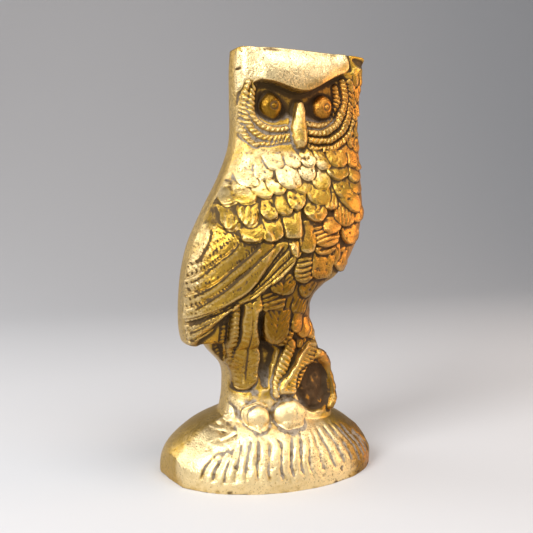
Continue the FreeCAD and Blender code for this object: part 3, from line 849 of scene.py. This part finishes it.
def block(name, x=(-FAR, FAR), y=(-FAR, FAR), z=(-FAR, 2 * FAR)):
    """A box that reaches past the owl, but where it is told to stop."""
    low, high = np.array([x, y, z]).T * MM
    bpy.ops.object.select_all(action="DESELECT")
    bpy.ops.mesh.primitive_cube_add(size=1.0, location=tuple((low + high) / 2))
    piece = bpy.context.object
    piece.name = name
    piece.scale = tuple(high - low)
    bpy.ops.object.transform_apply(location=True, rotation=True, scale=True)
    return piece

def drop(*pieces):
    for piece in pieces:
        bpy.data.meshes.remove(piece.data)

def faces_of(piece):
    return sum(len(p.vertices) - 2 for p in piece.data.polygons)

def points_of(piece):
    """All points of a piece, in mm."""
    co = np.empty(len(piece.data.vertices) * 3, dtype=np.float32)
    piece.data.vertices.foreach_get("co", co)
    return co.reshape(-1, 3) / MM

print("blocks reach", FAR, "mm")

# %% [markdown]
# Body, column and mound overlap, as glued-up parts of a pattern do. Remeshing in small cells
# turns the three into one closed skin, the way moulding sand and one pour of brass did.

# %% One skin
parts = [wrap("body", body),
         wrap("column", carve(stack("column"), sheet)),
         wrap("mound", grind_ends(carve(stack("mound", n_front=500, n_rear=200), sheet)))]
bpy.ops.object.select_all(action="DESELECT")
for part in parts:
    part.select_set(True)
bpy.context.view_layer.objects.active = parts[0]
bpy.ops.object.join()
owl = bpy.context.object
owl.name = "owl"
VOXEL = 0.27
finish_modifier(owl, "REMESH", mode="VOXEL", voxel_size=VOXEL * MM)
print("owl", len(owl.data.polygons), "faces after the remesh")
finish_modifier(owl, "SMOOTH", factor=0.5, iterations=1)

# %% [markdown]
# The rear is plain, and a founder would fill and file the corners where the parts of the
# pattern meet. A group of points that grows towards the rear is smoothed many times.

# %% Filed rear
rear_points = owl.vertex_groups.new(name="rear")
behind = points_of(owl)[:, 1]
for level in (0.25, 0.5, 0.75, 1.0):
    far_enough = np.nonzero(behind > SEAM_Y + 2 + 4 * level)[0]
    rear_points.add(far_enough.tolist(), level, "REPLACE")
finish_modifier(owl, "SMOOTH", factor=0.9, iterations=60, vertex_group="rear")
print("points of the rear that were smoothed:", int((behind > SEAM_Y + 3).sum()))

# %% [markdown]
# The hollow is the plain form drawn in by the wall. Drawn in a little less, it bounds how
# deep the braze ran into the joint. A thin slab in the seam plane sets the width of the joint.

# %% Hollow and joint
def plain(inset):
    """The three plain forms, drawn in, as one closed tool."""
    tool = wrap("tool", stack("body", inset, 2.0, 60, 40))
    for kind in ("column", "mound"):
        other = wrap("tool_part", stack(kind, inset, 1.5, 60, 40))
        cut(tool, other, "UNION")
        drop(other)
    return tool

cavity = plain(WALL)
core = plain(BRAZE_DEPTH)
band = block("band", y=(SEAM_Y - BRAZE_HALF, SEAM_Y + BRAZE_HALF))
ring = copy_of(band, "ring")
cut(ring, core)
rear_space = block("rear_space", y=(SEAM_Y, FAR))
front_space = block("front_space", y=(-FAR, SEAM_Y))
print("dirt_and_shade_fill", faces_of(cavity), "triangles, core", faces_of(core), "triangles")

# %% [markdown]
# Cut by these tools, the skin becomes a front half, a rear half and the braze between them.

# %% Two halves
seam = copy_of(owl, "seam")
cut(seam, band, "INTERSECT")
cut(seam, core)
cut(owl, cavity)
cut(owl, ring)
front = copy_of(owl, "front_half")
cut(front, rear_space)
rear = owl
rear.name = "rear_half"
cut(rear, front_space)
for piece in (front, rear, seam):
    print(piece.name, faces_of(piece), "triangles")

# %% [markdown]
# The braze was run in three goes: over the crown, down the bird's back, and down the breast.

# %% Three runs of braze
CROWN_CUT = HEIGHT - BRAZE_DEPTH
strips = []
for name, space in (("crown_strip", {"z": (CROWN_CUT, 2 * FAR)}),
                    ("back_strip", {"x": (-FAR, 0), "z": (-FAR, CROWN_CUT)}),
                    ("breast_strip", {"x": (0, FAR), "z": (-FAR, CROWN_CUT)})):
    tool = block("strip_tool", **space)
    strip = copy_of(seam, name)
    cut(strip, tool, "INTERSECT")
    drop(tool)
    strips.append(strip)
    print(name, faces_of(strip), "triangles")
drop(seam, cavity, core, band, ring, rear_space, front_space)

# %% [markdown]
# The skin is now finer than it needs to be, so short edges are merged, and shading is kept
# smooth except over real corners.

# %% Lighter meshes
def thin(piece, limit):
    """Collapse edges until the piece is under its limit of triangles."""
    n = faces_of(piece)
    if n > limit:
        finish_modifier(piece, "DECIMATE", decimate_type="COLLAPSE", ratio=limit / n)
    only(piece)
    bpy.ops.object.shade_smooth_by_angle(angle=math.radians(50))
    print(piece.name, n, "->", faces_of(piece))

for piece, limit in [(front, 194000), (rear, 60000)] + [(strip, 12000) for strip in strips]:
    thin(piece, limit)

# %% [markdown]
# What makes the owl look old lies in the marks: dirt is left in every hollow, crests are rubbed
# bright. Blurring the relief and comparing it with itself finds both, in narrow cuts and in wide
# hollows. The same map carries painted shade too: the eye sockets under the brow and the bottom
# edge, where the mound meets the floor, are painted darker.

# %% Dirt in the hollows, and painted shade
fine = np.clip((blur(sheet, 0.75) - sheet) / 0.4, -1, 1)      # + in narrow cuts, - on crests
wide = np.clip((blur(sheet, 2.6) - sheet) / 1.6, -1, 1)

def patchy(points, edge, level, seed):
    """An area of dirt with holes rubbed in it."""
    return zone(points, edge) * ease(level + 0.6 * noise(0.75, seed))

disc = zone([(-17, 152), (-8, 152), (6, 148), (14, 152), (30, 158), (33, 140), (24, 127),
             (8, 127), (-8, 127), (-17, 131)], 3)
# the hollow under the branch is painted darker
cave = zone([(11.4, 40.6), (14, 42.8), (18, 41), (20, 35), (20, 27), (14, 25), (8.4, 26.4),
             (8, 33.6)], 2)
balls = (zone([(-8.4, 146), (-0.6, 146), (-0.6, 139.6), (-8.4, 139.6)], 2)
         + zone([(14.2, 147), (22.2, 147), (22.2, 140.4), (14.2, 140.4)], 2))
# Painted shadow of the brow: the eye sockets are made darker and more bronze.
socket_shadow = (zone([(-11, 149.5), (3, 147), (3.4, 137.5), (-4, 136.5), (-11, 139)], 2)
           + zone([(9.6, 147), (25, 150), (25, 140), (18, 137.5), (9.6, 138.5)], 2))
lids = (zone([(-12, 141), (-8.6, 138.6), (-4, 137), (1, 138), (3.6, 142), (4, 134), (-2, 132.6),
              (-12, 134)], 2)
        + zone([(9, 142), (12.6, 138.6), (18, 137.4), (23, 140), (26, 138), (18, 133.6),
                (10, 133)], 2))
ankles = patchy([(-24, 36), (2, 36), (8, 30), (8, 18), (-26, 18)], 5, 0.1, 64)
sooty = zone([(-4, 92), (0.5, 88), (-1, 82), (-10, 75), (-18, 70), (-20, 73), (-12, 80),
              (-8, 86)], 2)
shafts = patchy([(-30, 58), (-21, 58), (-20.5, 34), (-24, 28), (-30, 34)], 3, 0.2, 65)
stump_rim = patchy([(4, 46), (12, 49), (22, 47), (28, 38), (27, 27), (20, 23), (6, 25)], 3, 0.1, 66)
# Painted contact shadow: darker along the bottom edge, where the mound meets the floor.
rim = ease((1.6 - Z) / 1.0) * ease(0.3 + 0.6 * noise(0.75, 67))
uneven = 0.25 + 0.7 * ease(0.6 + 0.7 * noise(1.0, 68))
grime_and_shade = np.clip(0.8 * fine + 0.45 * wide * (1 - 0.55 * disc), -1, 1)
grime_and_shade = (grime_and_shade + uneven * cave + 0.4 * socket_shadow * (1 - balls) + 0.7 * nicks - 0.3 * lids
         + 0.35 * ankles + 0.25 * sooty + 0.3 * shafts + 0.35 * stump_rim + 0.5 * rim)
grime_and_shade = grime_and_shade * (1 - 0.6 * balls) + 0.28 * balls
print("dirtiest", round(float(grime_and_shade.max()), 2), "cleanest", round(float(grime_and_shade.min()), 2))

# %% [markdown]
# Handling polished the crown, the upper chest and the mound, and the same map paints them paler
# as light from above makes them, with painted light down the left side. Painted warm light lies on
# the side away from the window, painted shade makes belly, thigh and the right side dark bronze,
# and pale dust sits round the feet.

# %% Rubbed and lit, painted warm light, painted shade and dusty parts
def painted(*areas):
    """Areas painted over each other, each with a strength and a soft edge."""
    return np.clip(sum(strength * zone(points, edge) for strength, edge, points in areas), 0, 1)

# Partly real wear, partly painted light: the crown, upper chest and mound are made paler, as light
# from above makes them.
rubbed = painted(
    (1, 5, [(-20, 172), (30, 172), (28, 160), (16, 155), (5, 150), (-10, 153), (-14, 130),
            (-22, 125)]),
    (0.72, 7, [(-26, 128), (14, 127), (17, 115), (0, 112), (-14, 109), (-30, 107)]),
    (1, 8, [(-50, 30), (-18, 33), (6, 33), (12, 24), (22, 16), (28, -5), (-50, -5)]))
# Painted light: a band down the left side is made paler, as the lamp at the left makes it.
lit_left_band = zone([(-44, 112), (-29, 106), (-31, 94), (-34.5, 84), (-36.5, 70), (-36, 52),
                  (-44, 52)], 3)
rubbed = np.clip(rubbed * (1 - 0.85 * disc) + 0.6 * lit_left_band, 0, 1)
# Painted warm light: an orange tint on the right of the face, breast, legs and mound.
amber = painted(
    (1, 9, [(8, 152), (30, 160), (40, 150), (40, 80), (12, 74), (0, 84), (4, 100), (22, 108),
            (24, 126), (8, 128)]),
    (1, 6, [(2, 64), (14, 64), (26, 44), (26, 26), (6, 26), (2, 40)]),
    (1, 8, [(30, 16), (44, 14), (44, -4), (34, -4)]))
amber = amber * ease(0.5 + 0.35 * noise(3.5, 61))
worn = ease(0.6 + 0.5 * noise(2.5, 62))
grime_and_shade = np.where(grime_and_shade > 0, grime_and_shade * (1 - 0.65 * rubbed * worn), grime_and_shade)
# Painted shade: belly, thigh, tail, lower wing, the right side, the hollow under the branch and the
# right end of the mound go dark bronze, and the eyes with their sockets.
tarnish = painted(
    (1, 7, [(-14, 74), (2, 80), (16, 80), (18, 70), (12, 60), (12, 48), (-12, 48)]),
    (0.5, 6, [(-28, 68), (-12, 66), (-8, 34), (-26, 34)]),
    (0.35, 8, [(-40, 96), (-8, 92), (0, 84), (-28, 58), (-44, 50)]),
    (0.45, 9, [(6, 152), (34, 158), (42, 150), (42, 78), (12, 76), (2, 84), (10, 104), (18, 126)]),
    (0.95, 4, [(13, 48), (28, 50), (30, 24), (8, 24), (7, 34)]),
    (0.8, 10, [(18, 24), (44, 16), (46, -4), (22, -4)]),
    (0.4, 5, [(-30, 62), (-20, 60), (-18, 30), (-28, 28)]))
tarnish = np.clip(tarnish + balls + 0.8 * socket_shadow, 0, 1)
between_legs = zone([(-14, 66), (-11, 53), (-4, 51), (-4, 36), (6, 33), (10, 20), (4, 12),
                     (-12, 12), (-22, 18), (-20, 33), (-11, 36), (-11, 52)], 4)
under_face = zone([(-16, 150), (-12, 141), (-9, 137), (0, 137), (6, 140), (6, 124), (-6, 117),
                   (-24, 113), (-16, 128)], 4)
furrowed = zone([(-34, 17), (26, 19), (38, 10), (34, 2), (-36, 2)], 4)
dusty = np.clip(ease((46 - Z) / 10) * between_legs + under_face + lids + furrowed, 0, 1)
print("share rubbed", round(float(rubbed.mean()), 2), "tarnished",
      round(float(tarnish.mean()), 2))

# %% [markdown]
# The maps are read at each point of the pieces that face the front, and kept with the mesh as
# plain numbers for the material to use. The rear gets one even value of each.

# %% Marks kept on the pieces
def mark(piece, name, values):
    layer = piece.data.attributes.new(name, "FLOAT", "POINT")
    layer.data.foreach_set("value", np.asarray(values, dtype=np.float32))

MARKS = (("patina", grime_and_shade, 0.0), ("rubbed", rubbed, 0.5), ("amber", amber, 0.0),
         ("dust", dusty, 0.0), ("tarnish", tarnish, 0.2))
for piece in [front, rear] + strips:
    p = points_of(piece)
    face_on = ease((-p[:, 1] - 6.0) / 4.0)
    for name, values, elsewhere in MARKS:
        mark(piece, name,
             read_map(values, p[:, 0], p[:, 2]) * face_on + elsewhere * (1 - face_on))
print("marks on", [piece.name for piece in [front, rear] + strips])

# %% [markdown]
# Materials are sums over noises and marks, so the nodes get a shorthand: a wire that can be
# added and multiplied like a number.

# %% Shader shorthand
class Wire:
    """One output socket, with Python's arithmetic."""

    def __init__(self, tree, socket):
        self.tree, self.socket = tree, socket

    def _maths(self, operation, other, swap=False):
        a, b = (other, self) if swap else (self, other)
        return node(self.tree, "ShaderNodeMath", {"operation": operation}, {0: a, 1: b})[0]

    def __add__(self, o): return self._maths("ADD", o)
    def __radd__(self, o): return self._maths("ADD", o, True)
    def __sub__(self, o): return self._maths("SUBTRACT", o)
    def __rsub__(self, o): return self._maths("SUBTRACT", o, True)
    def __mul__(self, o): return self._maths("MULTIPLY", o)
    def __rmul__(self, o): return self._maths("MULTIPLY", o, True)

    def clip(self):
        """The same value, held between 0 and 1."""
        settings = {"operation": "ADD", "use_clamp": True}
        return node(self.tree, "ShaderNodeMath", settings, {0: self, 1: 0.0})[0]

def node(tree, kind, settings=None, inputs=None):
    """Any node: its settings first, then the values or links of its sockets."""
    n = tree.nodes.new(kind)
    for key, value in (settings or {}).items():
        setattr(n, key, value)
    for key, value in (inputs or {}).items():
        socket = n.inputs[key]
        if isinstance(value, Wire):
            tree.links.new(value.socket, socket)
        elif hasattr(socket.default_value, "__len__") and not hasattr(value, "__len__"):
            socket.default_value = [value] * len(socket.default_value)
        else:
            socket.default_value = value
    return [Wire(tree, s) for s in n.outputs]

def mix_colour(tree, share, a, b):
    return node(tree, "ShaderNodeMix", {"data_type": "RGBA"}, {0: share, 6: a, 7: b})[2]

def ramp(tree, value, low, high):
    """0 below the low end, 1 above the high end, smooth in between."""
    return node(tree, "ShaderNodeMapRange", {"clamp": True, "interpolation_type": "SMOOTHSTEP"},
                {0: value, 1: low, 2: high, 3: 0.0, 4: 1.0})[0]

print("a wire can add, subtract and multiply, from either side, and clip")

# %% [markdown]
# Old brass is not one colour. Rubbed crests are pale, and so are the parts painted lighter as
# light from above and from the left makes them; the rest is deep gold. Painted shade turns parts
# dark bronze, painted warm light tints the side away from the window, and the cuts are filled with
# brown dirt and here and there with dust; the same brown is painted as shade in the eye sockets and
# along the foot. Pinholes and sand grain break up the shine. The braze is the same metal, filed, so
# it is smoother.

# %% Old polished brass
DEEP, PALE = (0.53, 0.325, 0.05), (0.92, 0.72, 0.38)
SHADE_BRONZE = (0.24, 0.12, 0.012)
WARM_LIGHT_TINT = (0.62, 0.27, 0.045)
BROWN, UMBER, DUST = (0.085, 0.045, 0.016), (0.035, 0.02, 0.01), (0.42, 0.37, 0.31)

BUMP_HEIGHT = 0.0003                 # of the sand grain, in metres

def brass(name, roughness, grain):
    """Brass that reads the five marks of its piece."""
    material = bpy.data.materials.new(name)
    material.use_nodes = True
    tree = material.node_tree
    tree.nodes.clear()
    place = node(tree, "ShaderNodeTexCoord")[3]
    patina, rub_and_lit, warm_light_share, dust, tarnish = [node(tree, "ShaderNodeAttribute", {"attribute_name": n})[2]
                                        for n in ("patina", "rubbed", "amber", "dust", "tarnish")]
    cloud, speck, sand = [
        node(tree, "ShaderNodeTexNoise", {}, {"Vector": place, "Scale": scale, "Detail": detail})[0]
        for scale, detail in ((42.0, 4.0), (620.0, 3.0), (1500.0, 2.0))]
    pores = node(tree, "ShaderNodeTexVoronoi", {}, {"Vector": place, "Scale": 520.0})[0]
    pore = ramp(tree, pores * -1.0 + (cloud - 0.5) * 0.35, -0.17, -0.05)
    # pale where crests are rubbed, and where light is painted on
    bright = patina * -0.8 + rub_and_lit * 0.75 + (cloud - 0.5) * 0.7 + (speck - 0.5) * 0.5
    crest_wear_and_light = ramp(tree, bright, 0.15, 0.8)
    crest_wear_and_light = crest_wear_and_light * (rub_and_lit * 0.6 + 0.4)
    colour = mix_colour(tree, crest_wear_and_light, (*DEEP, 1), (*PALE, 1))
    # painted shade: dark bronze
    colour = mix_colour(tree, (tarnish * (0.95 - 0.5 * crest_wear_and_light)).clip(), colour, (*SHADE_BRONZE, 1))
    # painted warm light: an orange tint
    colour = mix_colour(tree, (warm_light_share * (0.85 - 0.4 * crest_wear_and_light)).clip(), colour, (*WARM_LIGHT_TINT, 1))
    # brown dirt in the cuts, and painted shade where the map carries it
    dirt_and_shade_fill = ramp(tree, patina + (cloud - 0.5) * 0.3 + (speck - 0.5) * 0.35, 0.05, 0.42)
    deep = ramp(tree, patina + (speck - 0.5) * 0.3, 0.3, 0.75)
    dark = mix_colour(tree, deep, (*BROWN, 1), (*UMBER, 1))
    powder = ramp(tree, speck + (cloud - 0.5) * 0.5, 0.22, 0.62)
    dark = mix_colour(tree, (dust * powder * 0.85).clip(), dark, (*DUST, 1))
    colour = mix_colour(tree, dirt_and_shade_fill * 0.9, colour, dark)
    colour = mix_colour(tree, pore * 0.7, colour, (*BROWN, 1))
    fleck = ramp(tree, sand * -1.0 + (cloud - 0.5) * 0.5, -0.44, -0.3)
    colour = mix_colour(tree, fleck * 0.45, colour, (*BROWN, 1))
    rough = roughness + dirt_and_shade_fill * 0.35 + (speck - 0.5) * 0.3 + (cloud - 0.5) * 0.15 + dust * 0.1
    height = speck * 0.5 + sand * 0.5 - pore * 0.5
    bump = node(tree, "ShaderNodeBump", {},
                {"Strength": grain, "Distance": BUMP_HEIGHT, "Height": height})[0]
    shader = node(tree, "ShaderNodeBsdfPrincipled", {}, {
        "Base Color": colour, "Roughness": rough.clip(),
        "Metallic": (1.0 - dirt_and_shade_fill * 0.5).clip(), "Normal": bump})[0]
    node(tree, "ShaderNodeOutputMaterial", {}, {"Surface": shader})
    return material

cast_brass = brass("cast_brass", roughness=0.4, grain=1.0)
braze_brass = brass("filed_braze", roughness=0.34, grain=0.5)

print("materials", cast_brass.name, braze_brass.name)

# %% [markdown]
# Each piece now takes its metal and the place of its part in the frame. Nothing moves, so all
# of them ride on the one body.

# %% Dress the pieces
def dress(piece, material):
    piece.data.materials.clear()
    piece.data.materials.append(material)

for piece, node_name in ((front, "front_casting"), (rear, "back_casting")):
    dress(piece, cast_brass)
    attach(piece, "root")
    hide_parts(node_name)
for piece, node_name in zip(strips, ("braze_crown", "braze_back", "braze_breast")):
    dress(piece, braze_brass)
    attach(piece, "root")
    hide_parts(node_name)

print("dressed", [piece.name for piece in [front, rear] + strips])

# %% [markdown]
# The owl stands on a sheet of pale paper that curves up behind it, so there is no horizon.

# %% Floor and backdrop
PAPER = (0.56, 0.56, 0.57)
paper = bpy.data.materials.new("floor_paper")
paper.use_nodes = True
shader = paper.node_tree.nodes["Principled BSDF"]
shader.inputs["Base Color"].default_value = (*PAPER, 1)
shader.inputs["Roughness"].default_value = 0.8

BEND = 0.7
sweep = [(y, 0.0) for y in np.linspace(-2.0, 0.5, 12)]
sweep += [(0.5 + BEND * math.sin(a), BEND * (1 - math.cos(a)))
          for a in np.linspace(0.08, math.pi / 2, 20)]
sweep += [(1.2, z) for z in (1.1, 1.6, 2.4)]
bpy.ops.object.select_all(action="DESELECT")
bpy.ops.mesh.primitive_grid_add(x_subdivisions=2, y_subdivisions=len(sweep) - 1, size=2.0)
floor = bpy.context.object
floor.name = "floor"
for vertex in floor.data.vertices:
    row = int(round((vertex.co.y + 1) / 2 * (len(sweep) - 1)))
    vertex.co = (vertex.co.x * 3.0, *sweep[row])
bpy.ops.object.shade_smooth()
dress(floor, paper)
print("floor of", len(floor.data.vertices), "points")

# %% [markdown]
# Brass shows what it reflects more than what it is. A big soft lamp stands at the left like a
# window, another hangs high in front for the brow and the tops of the feathers, a faint one
# behind lifts the left edge, and a weak warm one tints the side in shade.

# %% Studio light
world = bpy.data.worlds.new("studio")
world.use_nodes = True
bpy.context.scene.world = world
tree = world.node_tree
tree.nodes.clear()
sky = node(tree, "ShaderNodeBackground", {}, {"Color": (0.36, 0.36, 0.37, 1), "Strength": 1.0})[0]
node(tree, "ShaderNodeOutputWorld", {}, {"Surface": sky})

def soft_lamp(name, place, aim, size, watts, colour=(1, 1, 1)):
    data = bpy.data.lights.new(name, "AREA")
    data.shape, data.size, data.energy, data.color = "SQUARE", size, watts, colour
    lamp = bpy.data.objects.new(name, data)
    lamp.location = place
    lamp.rotation_euler = (Vector(aim) - Vector(place)).to_track_quat("-Z", "Y").to_euler()
    bpy.context.scene.collection.objects.link(lamp)

AIM = (0.0, 0.0, 0.09)
soft_lamp("key", (-0.6, -0.34, 0.52), AIM, 0.34, 6.8)
soft_lamp("top", (0.13, -0.34, 0.72), AIM, 0.4, 3.0)
soft_lamp("rim", (-0.55, 0.4, 0.35), AIM, 0.4, 1.8)
soft_lamp("fill", (0.6, -0.25, 0.22), AIM, 0.4, 2.0, (1.0, 0.66, 0.4))
bpy.context.scene.view_settings.view_transform = "Standard"
